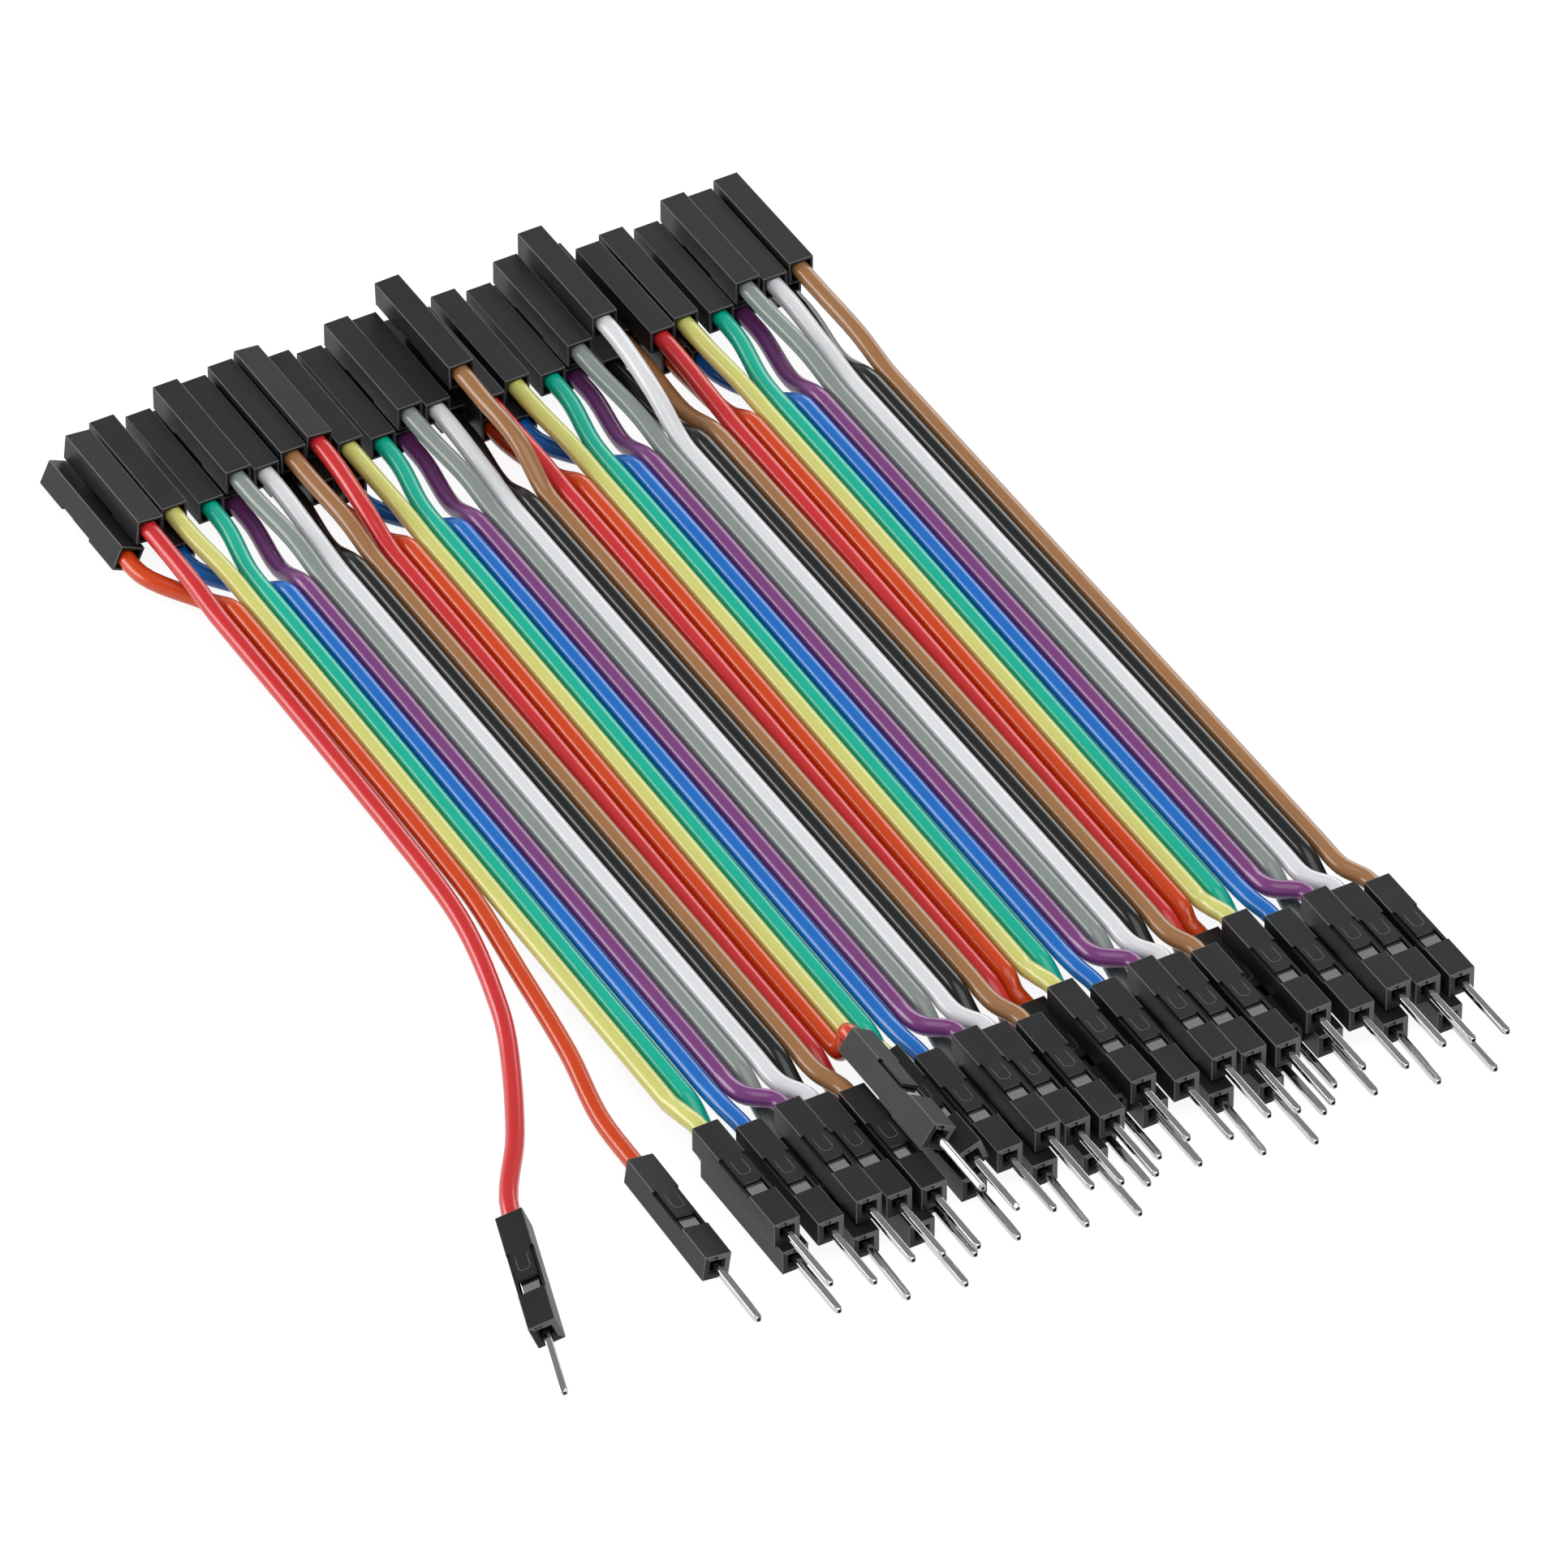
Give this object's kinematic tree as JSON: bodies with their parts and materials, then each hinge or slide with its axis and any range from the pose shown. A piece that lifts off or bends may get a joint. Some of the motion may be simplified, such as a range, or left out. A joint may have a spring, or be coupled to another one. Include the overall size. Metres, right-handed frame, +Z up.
{
  "type": "jumper wire ribbon",
  "caption": "Flat ribbon of coloured breadboard jumper wires with black one-way housings, pins at one end and sockets at the other.",
  "frame": {"origin": "on the surface that the ribbon lies on, under the middle of its box", "axes": "+Y along the wires from the pin ends to the socket ends, +X across the ribbon from wire 1 to wire 40, +Z up"},
  "size_m": [0.0916, 0.1372, 0.0078],
  "materials": {
    "housing_plastic": "satin moulded, black",
    "tinned_contact": "bright tin on formed sheet",
    "red_insulation": "soft gloss",
    "orange_insulation": "soft gloss",
    "yellow_insulation": "soft gloss",
    "green_insulation": "soft gloss",
    "blue_insulation": "soft gloss",
    "purple_insulation": "soft gloss",
    "grey_insulation": "soft gloss",
    "white_insulation": "soft gloss",
    "black_insulation": "soft gloss",
    "brown_insulation": "soft gloss"
  },
  "bodies": {
    "root": {"jumper_04_green": "green_insulation", "jumper_05_blue": "blue_insulation", "jumper_06_purple": "purple_insulation", "jumper_07_grey": "grey_insulation", "jumper_08_white": "white_insulation", "jumper_09_black": "black_insulation", "jumper_10_brown": "brown_insulation", "jumper_11_red": "red_insulation", "jumper_13_yellow": "yellow_insulation", "jumper_14_green": "green_insulation", "jumper_15_blue": "blue_insulation", "jumper_16_purple": "purple_insulation", "jumper_17_grey": "grey_insulation", "jumper_18_white": "white_insulation", "jumper_19_black": "black_insulation", "jumper_20_brown": "brown_insulation", "jumper_21_red": "red_insulation", "jumper_22_orange": "orange_insulation", "jumper_23_yellow": "yellow_insulation", "jumper_24_green": "green_insulation", "jumper_25_blue": "blue_insulation", "jumper_26_purple": "purple_insulation", "jumper_27_grey": "grey_insulation", "jumper_28_white": "white_insulation", "jumper_29_black": "black_insulation", "jumper_30_brown": "brown_insulation", "jumper_31_red": "red_insulation", "jumper_32_orange": "orange_insulation", "jumper_33_yellow": "yellow_insulation", "jumper_34_green": "green_insulation", "jumper_35_blue": "blue_insulation", "jumper_36_purple": "purple_insulation", "jumper_37_grey": "grey_insulation", "jumper_38_white": "white_insulation", "jumper_39_black": "black_insulation", "pin_contact_01_red": "tinned_contact", "pin_contact_02_orange": "tinned_contact", "pin_contact_03_yellow": "tinned_contact", "pin_contact_12_orange": "tinned_contact", "pin_contact_40_brown": "tinned_contact", "pin_housing_01_red": "housing_plastic", "pin_housing_02_orange": "housing_plastic", "pin_housing_03_yellow": "housing_plastic", "pin_housing_12_orange": "housing_plastic", "pin_housing_40_brown": "housing_plastic", "socket_contact_01_red": "tinned_contact", "socket_contact_02_orange": "tinned_contact", "socket_contact_03_yellow": "tinned_contact", "socket_contact_12_orange": "tinned_contact", "socket_contact_40_brown": "tinned_contact", "socket_housing_01_red": "housing_plastic", "socket_housing_02_orange": "housing_plastic", "socket_housing_03_yellow": "housing_plastic", "socket_housing_12_orange": "housing_plastic", "socket_housing_40_brown": "housing_plastic", "wire_01_red": "red_insulation", "wire_02_orange": "orange_insulation", "wire_03_yellow": "yellow_insulation", "wire_12_orange": "orange_insulation", "wire_40_brown": "brown_insulation"}
  },
  "joints": []
}
